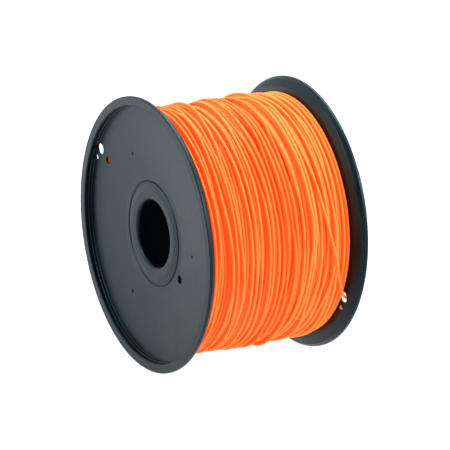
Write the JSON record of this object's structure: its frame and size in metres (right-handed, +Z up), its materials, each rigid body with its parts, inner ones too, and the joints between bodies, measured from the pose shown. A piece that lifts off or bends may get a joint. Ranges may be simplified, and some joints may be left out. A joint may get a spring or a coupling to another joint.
{
  "type": "filament spool",
  "caption": "Wide round filament spool with two rimmed flanges, a hollow drum with an open bore, clip-in hub caps and a full winding of round filament.",
  "frame": {"origin": "on the bore's axis, midway between the two rims' outer faces", "axes": "+Y along the bore's axis from the near flange to the far flange, +Z up, +X to the right when looking along +Y"},
  "size_m": [0.16, 0.102, 0.16],
  "materials": {
    "moulded_black": "satin",
    "cap_black": "satin",
    "core_black": "satin",
    "orange_filament": "gloss"
  },
  "bodies": {
    "root": {"near_flange": "moulded_black", "far_flange": "moulded_black", "near_hub_cap": "cap_black", "far_hub_cap": "cap_black", "winding_core": "core_black", "filament_winding": "orange_filament", "filament_tail": "orange_filament", "filament_start": "orange_filament"}
  },
  "joints": []
}
